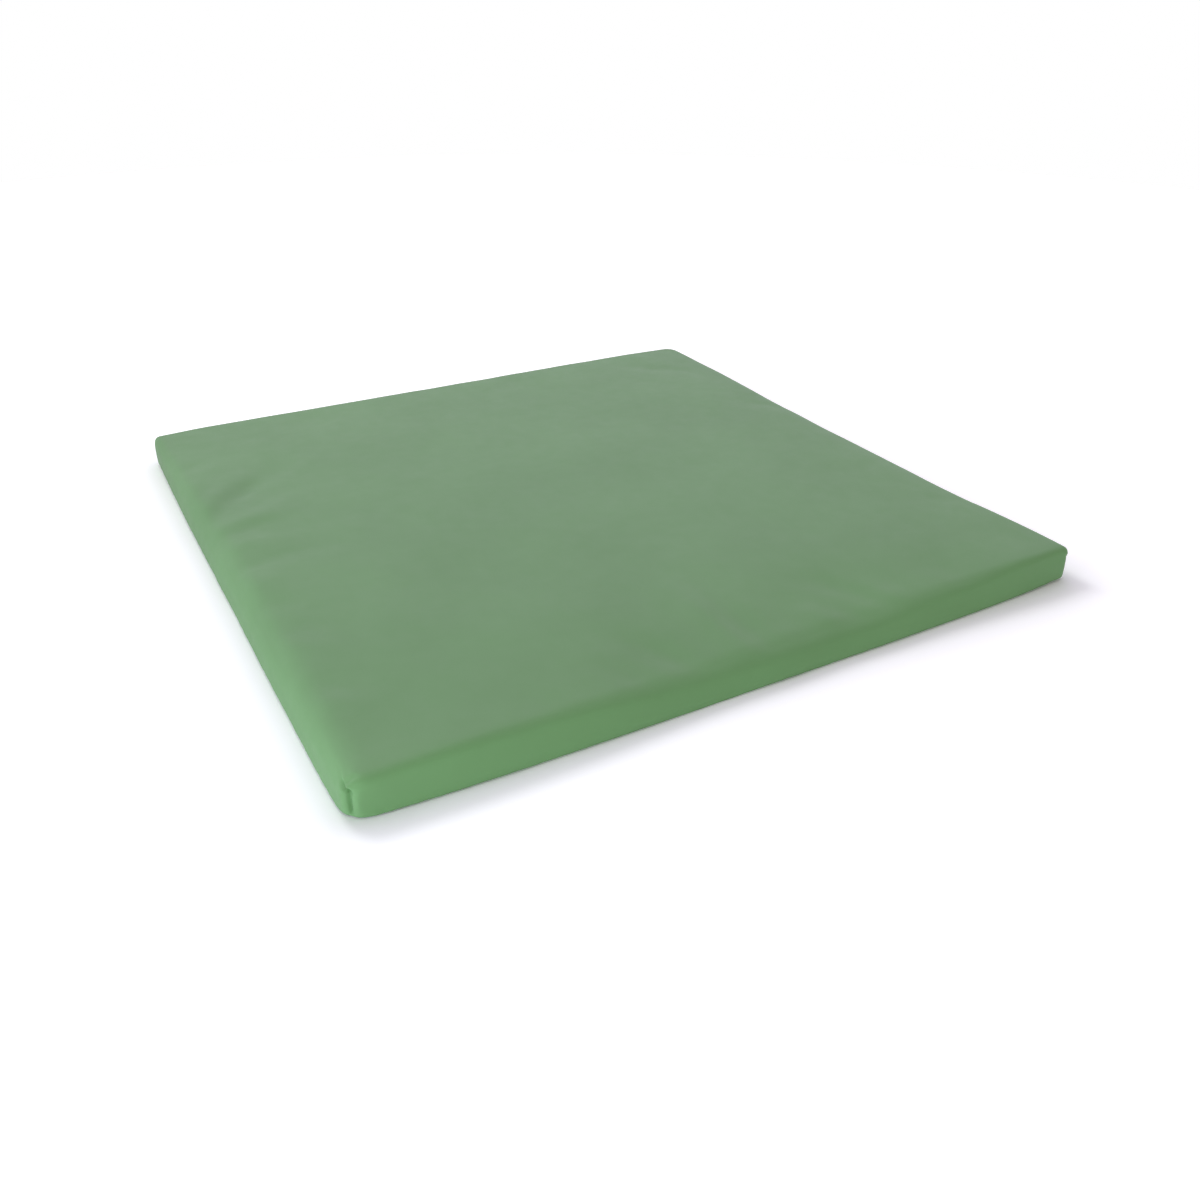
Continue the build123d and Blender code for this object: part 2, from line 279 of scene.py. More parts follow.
def make_studio():
    scene = bpy.context.scene
    scene.view_settings.view_transform = "Standard"
    scene.view_settings.look = "None"
    world = bpy.data.worlds.new("studio")
    scene.world = world
    world.use_nodes = True
    tree = world.node_tree
    # a bright wall of light behind and above, and a dim room in front
    place = tree.nodes.new("ShaderNodeTexCoord")
    toward = tree.nodes.new("ShaderNodeVectorMath")
    toward.operation = "DOT_PRODUCT"
    toward.inputs[1].default_value = Vector(SKY_TOWARD).normalized()
    tree.links.new(place.outputs["Generated"], toward.inputs[0])
    level = tree.nodes.new("ShaderNodeMapRange")
    level.inputs["From Min"].default_value = SKY_LEAST
    tree.links.new(toward.outputs["Value"], level.inputs["Value"])
    spread = float_curve(tree, *SKY_CURVE)
    tree.links.new(level.outputs["Result"], spread.inputs["Value"])
    room = tree.nodes.new("ShaderNodeMix")
    room.data_type = "RGBA"
    room.inputs["A"].default_value = SKY_DARK
    room.inputs["B"].default_value = SKY_BRIGHT
    tree.links.new(spread.outputs["Value"], room.inputs["Factor"])
    tint = seen_by_camera(tree, (0, 0, 0), (1, 1, 1))
    tree.links.new(room.outputs["Result"], tint.inputs["A"])
    tree.links.new(tint.outputs["Result"], tree.nodes["Background"].inputs["Color"])
    tree.nodes["Background"].inputs["Strength"].default_value = 1.0
    for light in LIGHTS:
        area_light(*light)

    turns = np.linspace(0, 2 * math.pi, FLOOR_SIDES, endpoint=False)
    edge = [(FLOOR_RADIUS * math.cos(t), FLOOR_RADIUS * math.sin(t), -FLOOR_DROP) for t in turns]
    floor = new_object("floor", edge, [tuple(range(FLOOR_SIDES))])
    paint = bpy.data.materials.new("floor_white")
    paint.use_nodes = True
    tree = paint.node_tree
    matt = tree.nodes.new("ShaderNodeBsdfDiffuse")
    tint = seen_by_camera(tree, FLOOR_GREY, (1, 1, 1))
    # the floor's colour is darkened close to the mat, a painted shadow round its foot, and brightens
    # away from it to the same white as the backdrop
    last = tree.nodes.new("ShaderNodeTexCoord").outputs["Object"]
    away_from_mat = (
        ("ABSOLUTE", None),
        ("SUBTRACT", (HALF * MM, HALF * MM, 0.0)),
        ("MAXIMUM", (0, 0, 0)),
        ("LENGTH", None),
    )
    for operation, value in away_from_mat:
        step = tree.nodes.new("ShaderNodeVectorMath")
        step.operation = operation
        tree.links.new(last, step.inputs[0])
        if value:
            step.inputs[1].default_value = value
        last = step.outputs["Value" if operation == "LENGTH" else "Vector"]
    curve = float_curve(tree, *FLOOR_PAINTED_SHADOW_CURVE)
    tree.links.new(last, curve.inputs["Value"])
    gain = tree.nodes.new("ShaderNodeVectorMath")
    gain.operation = "SCALE"
    gain.inputs[0].default_value = FLOOR_GAIN
    tree.links.new(curve.outputs["Value"], gain.inputs["Scale"])
    tree.links.new(gain.outputs["Vector"], tint.inputs["B"])
    tree.links.new(tint.outputs["Result"], matt.inputs["Color"])
    tree.links.new(matt.outputs["BSDF"], tree.nodes["Material Output"].inputs["Surface"])
    floor.data.materials.append(paint)


# ---------------------------------------------------------------- materials

class Nodes:
    """Short names for building one material's nodes."""

    def __init__(self, name, roughness=0.5, metallic=0.0):
        self.material = bpy.data.materials.new(name)
        self.material.use_nodes = True
        self.tree = self.material.node_tree
        self.shader = self.tree.nodes["Principled BSDF"]
        self.shader.inputs["Roughness"].default_value = roughness
        self.shader.inputs["Metallic"].default_value = metallic
        self.place = self.tree.nodes.new("ShaderNodeTexCoord").outputs["Object"]

    def add(self, kind, **settings):
        node = self.tree.nodes.new(kind)
        for key, value in settings.items():
            setattr(node, key, value)
        return node

    def link(self, source, target):
        self.tree.links.new(source, target)
        return target

    def noise(self, scale, detail=2.0, roughness=0.5, place=None):
        node = self.add("ShaderNodeTexNoise")
        node.inputs["Scale"].default_value = scale
        node.inputs["Detail"].default_value = detail
        node.inputs["Roughness"].default_value = roughness
        self.link(place or self.place, node.inputs["Vector"])
        return node.outputs["Fac"]

    def stretch(self, scale):
        node = self.add("ShaderNodeMapping")
        node.inputs["Scale"].default_value = scale
        self.link(self.place, node.inputs["Vector"])
        return node.outputs["Vector"]

    def ramp(self, value, *stops):
        node = self.add("ShaderNodeValToRGB")
        elements = node.color_ramp.elements
        while len(elements) < len(stops):
            elements.new(0.5)
        for element, (place, colour) in zip(elements, stops):
            element.position = place
            element.color = (*colour, 1)
        self.link(value, node.inputs["Fac"])
        return node.outputs["Color"]

    def fit(self, value, low, high):
        node = self.add("ShaderNodeMapRange")
        node.inputs["To Min"].default_value = low
        node.inputs["To Max"].default_value = high
        self.link(value, node.inputs["Value"])
        return node.outputs["Result"]

    def bump(self, height, distance, strength=1.0, under=None):
        node = self.add("ShaderNodeBump")
        node.inputs["Distance"].default_value = distance
        node.inputs["Strength"].default_value = strength
        self.link(height, node.inputs["Height"])
        if under is not None:
            self.link(under, node.inputs["Normal"])
        return node.outputs["Normal"]

    def colour(self, value):
        self.link(value, self.shader.inputs["Base Color"])

    def rough(self, value):
        self.link(value, self.shader.inputs["Roughness"])

    def normal(self, value):
        self.link(value, self.shader.inputs["Normal"])


def leathercloth(name, pale, deep):
    """Soft PVC leathercloth: a fine pebbled grain, a low sheen and slight unevenness."""
    n = Nodes(name)
    cells = n.add("ShaderNodeTexVoronoi", feature="DISTANCE_TO_EDGE")
    cells.inputs["Scale"].default_value = 620
    warped = n.add("ShaderNodeVectorMath", operation="ADD")
    drift = n.add("ShaderNodeTexNoise")
    drift.inputs["Scale"].default_value = 300
    n.link(n.place, drift.inputs["Vector"])
    shrink = n.add("ShaderNodeVectorMath", operation="SCALE")
    shrink.inputs["Scale"].default_value = 0.0016
    n.link(drift.outputs["Color"], shrink.inputs[0])
    n.link(n.place, warped.inputs[0])
    n.link(shrink.outputs[0], warped.inputs[1])
    n.link(warped.outputs[0], cells.inputs["Vector"])
    grain = n.bump(cells.outputs["Distance"], 0.00022, 0.55)
    fine = n.bump(n.noise(1900, 3), 0.00008, 0.5, grain)
    slack = n.bump(n.noise(26, 3, 0.45), 0.0012, 0.35, fine)
    n.normal(slack)
    n.colour(n.ramp(n.noise(5.5, 3, 0.55), (0.3, deep), (0.7, pale)))
    n.rough(n.fit(n.noise(40, 4, 0.6), 0.46, 0.62))
    n.shader.inputs["Specular IOR Level"].default_value = 0.42
    return n.material


def woven(name, dark, light, pitch=0.0006):
    """Zip tape: fine ribs with a herringbone weave."""
    n = Nodes(name, roughness=0.85)
    ribs = n.add("ShaderNodeTexWave", wave_type="BANDS", bands_direction="DIAGONAL")
    ribs.inputs["Scale"].default_value = 0.314 / pitch
    ribs.inputs["Distortion"].default_value = 0.4
    n.link(n.place, ribs.inputs["Vector"])
    rows = n.add("ShaderNodeTexWave", wave_type="BANDS", bands_direction="Z")
    rows.inputs["Scale"].default_value = 0.314 / (2 * pitch)
    n.link(n.place, rows.inputs["Vector"])
    n.normal(n.bump(rows.outputs["Fac"], 0.00015, 0.6, n.bump(ribs.outputs["Fac"], 0.00012, 0.7)))
    n.colour(n.ramp(ribs.outputs["Fac"], (0.2, dark), (0.8, light)))
    return n.material


def nylon(name, dark, light):
    n = Nodes(name, roughness=0.35)
    n.colour(n.ramp(n.noise(90, 3), (0.3, dark), (0.7, light)))
    n.rough(n.fit(n.noise(700, 2), 0.28, 0.45))
    n.normal(n.bump(n.noise(2500, 2), 0.00003, 0.4))
    return n.material


def thread_fibre(name, dark, light):
    """Sewing thread: plied fibres that catch the light in fine diagonal lines."""
    n = Nodes(name, roughness=0.6)
    ply = n.add("ShaderNodeTexWave", wave_type="BANDS", bands_direction="DIAGONAL")
    ply.inputs["Scale"].default_value = 900
    ply.inputs["Distortion"].default_value = 1.5
    n.link(n.place, ply.inputs["Vector"])
    n.colour(n.ramp(ply.outputs["Fac"], (0.1, dark), (0.9, light)))
    n.normal(n.bump(ply.outputs["Fac"], 0.00008, 0.8))
    n.shader.inputs["Sheen Weight"].default_value = 0.3
    return n.material


def plated_metal(name):
    """Nickel-plated zinc: satin, with fine brushing and a slightly uneven tone."""
    n = Nodes(name, roughness=0.3, metallic=1.0)
    brushed = n.noise(1.0, 4, 0.6, n.stretch((300, 3000, 3000)))
    n.colour(n.ramp(n.noise(160, 3), (0.3, (0.50, 0.49, 0.47)), (0.7, (0.66, 0.65, 0.63))))
    n.rough(n.fit(brushed, 0.22, 0.42))
    n.normal(n.bump(brushed, 0.00003, 0.5))
    return n.material


def open_cell_foam(name):
    """Pale polyurethane foam: small open cells with a soft yellowing."""
    n = Nodes(name, roughness=0.95)
    cells = n.add("ShaderNodeTexVoronoi", feature="F1")
    cells.inputs["Scale"].default_value = 750
    n.link(n.place, cells.inputs["Vector"])
    n.normal(n.bump(cells.outputs["Distance"], 0.0006, 0.9))
    n.colour(n.ramp(n.noise(14, 4, 0.6), (0.3, (0.66, 0.62, 0.47)), (0.7, (0.78, 0.76, 0.64))))
    n.rough(n.fit(n.noise(400, 2), 0.88, 1.0))
    return n.material


# ---------------------------------------------------------------- the cover's shape

def half_lines(reach, fine, coarse, band):
    """Distances from 0 to reach, close together near reach and further apart inside it."""
    lines = [0.0]
    while lines[-1] < reach:
        depth = lines[-1]
        lines.append(depth + fine + (coarse - fine) * float(smooth(band, 3 * band, depth)))
    lines = np.array(lines) * reach / lines[-1]
    return reach - lines[::-1]


def grid_lines(reach, fine, coarse, band):
    right = half_lines(reach, fine, coarse, band)
    return np.concatenate([-right[:0:-1], right])


def over_edge(steps):
    """(inset, height) round the top edge, from the flat top to the wall."""
    return [
        (TOP_RADIUS * (1 - math.sin(turn)), THICK - TOP_RADIUS * (1 - math.cos(turn)))
        for turn in np.linspace(0, math.pi / 2, steps)
    ]


def side_profile():
    """(inset, height) down the cover's side: over the top edge, down the wall and under."""
    rings = [(inset, THICK) for inset in np.linspace(FLAT_INSET, TOP_RADIUS, 6)[:-1]]
    rings += over_edge(7)
    upper = np.linspace(THICK - TOP_RADIUS, WINDOW_HIGH, 3)[1:]
    middle = np.linspace(WINDOW_HIGH, WINDOW_LOW, 5)[1:]
    lower = np.linspace(WINDOW_LOW, BOTTOM_RADIUS, 5)[1:]
    rings += [(0.0, z) for z in (*upper, *middle, *lower)]
    for turn in np.linspace(0, math.pi / 2, 5)[1:]:
        inset = BOTTOM_RADIUS * (1 - math.sin(math.pi / 2 - turn))
        rings.append((inset, BOTTOM_RADIUS * (1 - math.sin(turn))))
    rings.append((SEAM_INSET, 0.0))
    return rings


def outline(inset, lines, rounder=0.0):
    """The four sides of a rounded square at one inset, with a point for each grid line."""
    half = HALF - inset
    order = ["front_left", "front_right", "back_right", "back_left"]
    # the columns crowd towards each corner, where the seam is
    crowded = half * (lines / lines[-1])
    nearness = np.clip((half - np.abs(crowded)) / CROWD_REACH, 0, None)
    nearness = np.where(nearness < 1, nearness**1.5, nearness)
    crowded = np.sign(crowded) * (half - CROWD_REACH * nearness)
    share = (crowded / half + 1) / 2
    points = []
    for start in range(4):
        first = max(CORNERS[order[start]]["radius"] + rounder - inset, 0.0)
        last = max(CORNERS[order[(start + 1) % 4]]["radius"] + rounder - inset, 0.0)
        arc_first, arc_last = first * math.pi / 4, last * math.pi / 4
        straight = 2 * half - first - last
        reach = share * (arc_first + straight + arc_last)
        along = -half + first + (reach - arc_first)
        depth = np.zeros_like(reach)
        if first:
            turn = np.clip((arc_first - reach) / first, 0, None)
            on = reach < arc_first
            along[on] = (-half + first - first * np.sin(turn))[on]
            depth[on] = (first * (1 - np.cos(turn)))[on]
        if last:
            turn = np.clip((reach - arc_first - straight) / last, 0, None)
            on = reach > arc_first + straight
            along[on] = (half - last + last * np.sin(turn))[on]
            depth[on] = (last * (1 - np.cos(turn)))[on]
        level = -half + depth
        x, y = ((along, level), (-level, along), (-along, -level), (level, -along))[start]
        points.append(np.stack([x, y], 1)[:-1])
    return np.concatenate(points)


def slab_mesh(lines, rings, rounder=0.0, closed=False):
    """Points and faces of a slab: a grid on top, rings down its side and, if closed, a grid below.

    Also gives, for each face, the number of the ring it hangs from, or -1 on the two grids.
    """
    count = len(lines)
    gx, gy = np.meshgrid(lines, lines, indexing="ij")
    points = [np.stack([gx.ravel(), gy.ravel(), np.full(gx.size, rings[0][1])], 1)]
    index = np.arange(count * count).reshape(count, count)
    rim = [(i, 0) for i in range(count - 1)] + [(count - 1, j) for j in range(count - 1)]
    rim += [(i, count - 1) for i in range(count - 1, 0, -1)] + [(0, j) for j in range(count - 1, 0, -1)]
    faces, levels = [], []

    def add_grid(index, flipped):
        for i in range(count - 1):
            for j in range(count - 1):
                face = (index[i, j], index[i + 1, j], index[i + 1, j + 1], index[i, j + 1])
                faces.append(face[::-1] if flipped else face)
                levels.append(-1)

    add_grid(index, False)
    upper = np.array([index[i, j] for i, j in rim])
    total = count * count
    for level, (inset, height) in enumerate(rings[1:]):
        place = outline(inset, lines, rounder)
        points.append(np.column_stack([place, np.full(len(place), height)]))
        lower = total + np.arange(len(place))
        total += len(place)
        faces += [
            (upper[k], lower[k], lower[(k + 1) % len(lower)], upper[(k + 1) % len(lower)])
            for k in range(len(lower))
        ]
        levels += [level] * len(lower)
        upper = lower
    if closed:
        index = np.zeros((count, count), int)
        index[1:-1, 1:-1] = total + np.arange((count - 2) ** 2).reshape(count - 2, count - 2)
        low = np.full((count - 2) ** 2, rings[-1][1])
        points.append(np.stack([gx[1:-1, 1:-1].ravel(), gy[1:-1, 1:-1].ravel(), low], 1))
        for (i, j), k in zip(rim, upper):
            index[i, j] = k
        add_grid(index, True)
    return np.concatenate(points), [tuple(int(v) for v in face) for face in faces], np.array(levels)


# Folds on the top, each from the edge inward: points, half width, height (a valley is below 0)
FOLDS = [
    ([(-484, 138), (-399, 228), (-300, 318)], 16, -5.2),
    ([(-482, 182), (-430, 246), (-366, 310)], 15, 3.7),
    ([(-474, 96), (-360, 150), (-170, 252)], 22, 3.2),
    ([(-488, 80), (-421, 86), (-330, 104)], 11, -3.7),
    ([(-490, 108), (-440, 114), (-390, 128)], 10, 2.3),
    ([(-492, 42), (-435, 34), (-350, 34)], 14, 3.4),
    ([(-494, -24), (-423, -18), (-320, -10)], 14, -4.4),
    ([(-494, -78), (-450, -68), (-390, -50)], 17, 3.2),
    ([(-490, -132), (-453, -138), (-395, -144)], 14, -3.2),
    ([(-484, -190), (-455, -206), (-416, -244)], 15, -2.8),
    ([(-480, -226), (-455, -246), (-410, -276)], 15, 1.8),
    ([(-482, -322), (-450, -340), (-400, -370)], 17, -2.5),
    ([(-474, -356), (-445, -374), (-398, -406)], 16, 1.8),
    ([(-490, 326), (-452, 340), (-400, 364)], 15, -2.8),
    ([(-492, 264), (-456, 262), (-404, 268)], 14, 2.8),
    ([(-16, -494), (-20, -393), (-26, -220)], 16, 5.2),
    ([(14, -494), (4, -410), (4, -270)], 14, -6.0),
    ([(-88, -492), (-116, -436), (-190, -325)], 15, -5.4),
    ([(-152, -490), (-168, -458), (-196, -404)], 14, -4.2),
    ([(200, -488), (156, -418), (100, -340)], 15, -5.6),
    ([(112, -492), (98, -456), (72, -410)], 14, 4.6),
    ([(216, -490), (196, -454), (160, -410)], 13, 4.2),
    ([(150, -494), (138, -470), (114, -440)], 11, -3.6),
    ([(-262, -492), (-286, -452), (-326, -398)], 18, -2.3),
    ([(320, -490), (298, -440), (262, -388)], 17, -2.6),
    ([(440, 356), (380, 402), (322, 454)], 16, -2.3),
    ([(486, 108), (446, 150), (400, 206)], 17, -2.5),
    ([(164, 486), (110, 440), (46, 400)], 18, -2.1),
    ([(-84, 486), (-120, 430), (-166, 360)], 18, -2.1),
    ([(474, -164), (400, -156), (310, -136)], 19, -2.1),
    ([(474, -212), (400, -232), (330, -186)], 18, 1.7),
    ([(488, -320), (440, -304), (380, -296)], 18, -2.3),
    ([(332, 488), (310, 446), (290, 398)], 16, 1.8),
]


def fold_heights(x, y):
    """How far the folds raise or lower the top at each point."""
    total = np.zeros_like(x)
    steps = np.linspace(0, 1, 25)
    for (a, b, c), width, height in FOLDS:
        a, b, c = np.array(a, float), np.array(b, float), np.array(c, float)
        control = 2 * b - (a + c) / 2
        line = (
            np.outer((1 - steps) ** 2, a)
            + np.outer(2 * steps * (1 - steps), control)
            + np.outer(steps**2, c)
        )
        near = np.hypot(x - b[0], y - b[1]) < np.linalg.norm(c - a) + 4 * width
        gap = np.hypot(x[near][:, None] - line[:, 0], y[near][:, None] - line[:, 1])
        best = gap.argmin(1)
        along = steps[best]
        fade = (1 - smooth(0.35, 1.0, along)) * (0.55 + 0.45 * smooth(0, 0.3, along))
        spread = width * (0.8 + 0.7 * along)
        total[near] += height * fade * bell(gap[np.arange(len(best)), best], spread)
    return total


# Each wall bows out low down and leans in above. Its top edge slumps, which fades inward over
# "fade", and is rounded by "roll" (least and added), "wide" times wider than high on top of that.
# The slump and the rounding are most around "at", for "reach" each way along the wall.
WALLS = {
    "front": {
        "bow": 9.0, "lean": 3.5, "slump": 9.0, "fade": 85, "at": 70, "reach": 290,
        "roll": (11, 6), "wide": 0.6, "seed": 11,
    },
    "right": {
        "bow": 2.6, "lean": 1.8, "slump": 2.3, "fade": 34, "at": -60, "reach": 320,
        "roll": (11, 9), "wide": 0.0, "seed": 12,
    },
    "back": {
        "bow": 0.0, "lean": 0.0, "slump": 0.0, "fade": 34, "at": 0, "reach": 400,
        "roll": (10, 3), "wide": 0.0, "seed": 13,
    },
    "left": {
        "bow": 2.4, "lean": 2.6, "slump": 3.2, "fade": 34, "at": -170, "reach": 400,
        "roll": (18, 10), "wide": 0.0, "seed": 14,
    },
}
# Unevenness of the walls and the top: how high and how long its waves are
SWELL, SWELL_CHANGE, SWELL_WAVE = 1.2, 0.9, 160
DENTS, DENT_WAVE = 0.2, 60
SLUMP_CHANGE, SLUMP_WAVE = 0.25, 170
TOP_WAVES = ((0.7, 260, 3), (0.35, 110, 4))


def corner_distance(x, y, name):
    sx, sy = CORNERS[name]["at"]
    return np.hypot(x - sx * HALF, y - sy * HALF)


def settle(points, folds=1.0, creases=0.0):
    """Moves points from the plain rounded slab to how the filled cover really sits.

    creases is the share of the folds' valleys alone, which press into the foam.
    """
    p = points.copy()
    x, y, z = points.T
    top_share = z / THICK
    moved = np.zeros_like(p)
    keep_round = np.ones_like(x)
    # corners drawn out or in, and pressed thinner by their seams
    for name, corner in CORNERS.items():
        sx, sy = corner["at"]
        weight = (1 + sx * x / HALF) / 2 * (1 + sy * y / HALF) / 2
        moved[:, 0] += corner["shift"][0] * weight
        moved[:, 1] += corner["shift"][1] * weight
        close = bell(corner_distance(x, y, name), CORNER_REACH)
        moved[:, 2] -= CORNER_DROP * close * smooth(0.45, 1.0, top_share)
        moved[:, 2] += corner["lift"] * close * (1 - 0.4 * top_share)
        keep_round -= corner["sharp"] * close
    # walls that bow out low down and slump along the top edge
    for name, wall in WALLS.items():
        axis = 0 if name in ("left", "right") else 1
        sign = 1 if name in ("right", "back") else -1
        along = points[:, 1 - axis]
        depth = HALF - sign * points[:, axis]
        hold = 1 - smooth(0, WALL_REACH, depth)
        between = np.clip(1 - (along / HALF) ** 4, 0, 1)
        belly = np.sin(math.pi * np.clip(top_share, 0, 1))
        out = wall["bow"] * between * (1 - 0.8 * smooth(0.1, 1.0, top_share))
        if name != "back":
            swell = SWELL_CHANGE * ripple(along, z * 0.8, SWELL_WAVE, wall["seed"])
            out += between * belly * (SWELL + swell)
            out += between * belly * DENTS * ripple(along, z * 0.8, DENT_WAVE, wall["seed"] + 20)
        most = np.exp(-(((along - wall["at"]) / wall["reach"]) ** 4))
        slump = wall["slump"] * between * (0.25 + 0.75 * most) * bell(depth, wall["fade"])
        slump *= 1 + SLUMP_CHANGE * ripple(along, 0 * z, SLUMP_WAVE, wall["seed"] + 40)
        out -= wall["lean"] * between * top_share
        # points beyond the rounder edge are brought in to its arc, which can be wider than high
        high = (wall["roll"][0] + wall["roll"][1] * most) * keep_round
        wide = high * (1 + wall["wide"] * most)
        in_from, down_from = np.maximum(1 - depth / wide, 0), np.maximum(1 - (THICK - z) / high, 0)
        beyond = 1 - 1 / np.maximum(np.hypot(in_from, down_from), 1)
        moved[:, axis] += sign * (out * hold - wide * in_from * beyond)
        moved[:, 2] -= slump * top_share + high * down_from * beyond
    # the top: slightly dished in from the edges, with its folds
    is_top = smooth(0.8, 1.0, top_share)
    moved[:, 2] += is_top * sum(
        height * ripple(x, y, length, seed) for height, length, seed in TOP_WAVES
    )
    if folds or creases:
        heights = fold_heights(x, y)
        moved[:, 2] += is_top * (folds * heights + creases * np.minimum(heights, 0))
    return p + moved


def seam_spot(name):
    """Where a corner's seam stands, half way up the wall."""
    corner = CORNERS[name]
    reach = HALF - 0.29 * corner["radius"]
    return settle(np.array([[corner["at"][0] * reach, corner["at"][1] * reach, THICK / 2]]), folds=0)[0]


def pinch_corners(points, normals):
    """The vertical corner seams: a narrow valley with a soft lobe on each side of it."""
    out = points.copy()
    x, y, z = points.T
    for name, corner in CORNERS.items():
        sx, sy = corner["at"]
        outward = np.array([sx, sy, 0]) / math.sqrt(2)
        across = np.array([-sy, sx, 0]) / math.sqrt(2)
        offset = points - seam_spot(name)
        side = offset @ across
        near = bell(offset @ outward, SEAM_REACH)
        facing = smooth(-0.1, 0.35, normals @ outward)
        height = smooth(0.5, 7, z) * (1 - smooth(THICK - SEAM_FADES, THICK - SEAM_ENDS, z))
        belly = np.sin(math.pi * np.clip(z / (THICK - 11), 0, 1)) ** 0.7
        push = LOBE_HEIGHT * (0.3 + 0.7 * corner["tuck"])
        push = push * bell(np.abs(side) - LOBE_PLACE, LOBE_WIDTH) * belly * facing
        push -= SEAM_DEPTH * bell(side, SEAM_WIDTH) * height
        # a small tuck at the seam's top, turned to the seam's left
        slope = z - (THICK - TUCK_DROP) + 0.4 * (side + 4.0)
        tuck = 2.2 * bell(slope - 4.0, 2.6) - TUCK_DEPTH * bell(slope, 2.0)
        push += corner["tuck"] * tuck * bell(side + 5.0, 7.0)
        out += np.outer(push * near, outward)
    return out


def pucker_seams(points, normals):
    """Small gathers where the walls are sewn to the base panel."""
    x, y, z = points.T
    low = bell(z - 4, 6)
    along = np.where(np.abs(x) > np.abs(y), y, x)
    gather = 0.13 * ripple(along, z * 0.8, 19, 31) + 0.10 * ripple(along, z, 10, 32)
    return points + normals * (gather * low * (np.maximum(abs(x), abs(y)) > HALF - 12))[:, None]


def make_foam():
    """The foam: a soft-edged slab that the cover wraps, a little smaller than its inside."""
    rings = [(FLAT_INSET, THICK), *over_edge(6)]
    rings += [(0.0, z) for z in np.linspace(THICK - TOP_RADIUS, BOTTOM_RADIUS, 4)[1:]]
    rings += [(BOTTOM_RADIUS / 3, BOTTOM_RADIUS / 3), (BOTTOM_RADIUS, 0.0), (FLAT_INSET, 0.0)]
    lines = grid_lines(HALF - FLAT_INSET, fine=8.0, coarse=20.0, band=60.0)
    points, faces, _ = slab_mesh(lines, rings, FOAM_ROUNDER, closed=True)
    foam = new_object("foam_core_block", settle(points, folds=0, creases=FOAM_CREASE), faces)
    set_points(foam, points_of(foam) - FOAM_GAP * normals_of(foam))
    return foam


def make_base_panel():
    """The base: one flat piece sewn in all round, just inside the cover's turned-under edge."""
    edge = SEAM_INSET + SEAM_GAP
    rings = [(FLAT_INSET, SHEET), (edge + 2.0, SHEET), (edge + 0.3, SHEET), (edge, SHEET - 0.3)]
    rings += [(edge, 0.3), (edge + 0.3, 0.05), (edge + 2.0, 0.05), (FLAT_INSET, 0.05)]
    lines = grid_lines(HALF - FLAT_INSET, fine=12.0, coarse=30.0, band=30.0)
    points, faces, _ = slab_mesh(lines, rings, closed=True)
    return new_object("base_panel_sheet", settle(points, folds=0), faces)


def drape(cover, foam, plain):
    """Lets the cover's cloth settle on the foam, held at its base seam and at the zip."""
    start = points_of(cover)
    x, y, z = plain.T
    at_zip = (y > HALF - 0.5) & (abs(x) < WINDOW_HALF + ZIP_MARGIN) & (z < WINDOW_HIGH + 1)
    held = (z < HELD_BELOW) | at_zip
    cover.shape_key_add(name="start")
    cut = cover.shape_key_add(name="cut")
    cut.data.foreach_set("co", (settle(plain, folds=SPARE_FOLDS) * MM).astype(np.float32).ravel())
    group = cover.vertex_groups.new(name="held")
    group.add([int(i) for i in np.nonzero(held)[0]], 1.0, "REPLACE")
    foam.modifiers.new("collide", "COLLISION")
    foam.collision.thickness_outer = CONTACT_GAP
    foam.collision.cloth_friction = 8
    cloth = cover.modifiers.new("cloth", "CLOTH")
    fabric = cloth.settings
    fabric.rest_shape_key = cut
    fabric.quality = 5
    fabric.mass = 0.12
    fabric.tension_stiffness = 60
    fabric.compression_stiffness = 60
    fabric.shear_stiffness = 20
    fabric.bending_stiffness = 14
    fabric.air_damping = 2
    fabric.effector_weights.gravity = 0.25
    fabric.vertex_group_mass = "held"
    fabric.use_pressure = True
    fabric.uniform_pressure_force = 0.1
    cloth.collision_settings.distance_min = CONTACT_GAP
    cloth.collision_settings.collision_quality = 2
    scene = bpy.context.scene
    cloth.point_cache.frame_end = DRAPE_STEPS
    for step in range(1, DRAPE_STEPS + 1):
        scene.frame_set(step)
    apply_modifiers(cover)
    cover.vertex_groups.clear()
    foam.modifiers.clear()
    scene.frame_set(1)
    upper = z > np.where(y > HALF - 0.5, WINDOW_HIGH + 3, SOFTENED_ABOVE)
    group = cover.vertex_groups.new(name="top")
    group.add([int(i) for i in np.nonzero(upper)[0]], 1.0, "REPLACE")
    soften = cover.modifiers.new("soften", "SMOOTH")
    soften.vertex_group = "top"
    soften.factor = 0.5
    soften.iterations = 3
    apply_modifiers(cover)
    cover.vertex_groups.clear()
    moved = points_of(cover) - start
    length = np.linalg.norm(moved, axis=1, keepdims=True)
    moved *= np.minimum(1, DRAPE_REACH / np.maximum(length, 1e-9))
    set_points(cover, start + moved)


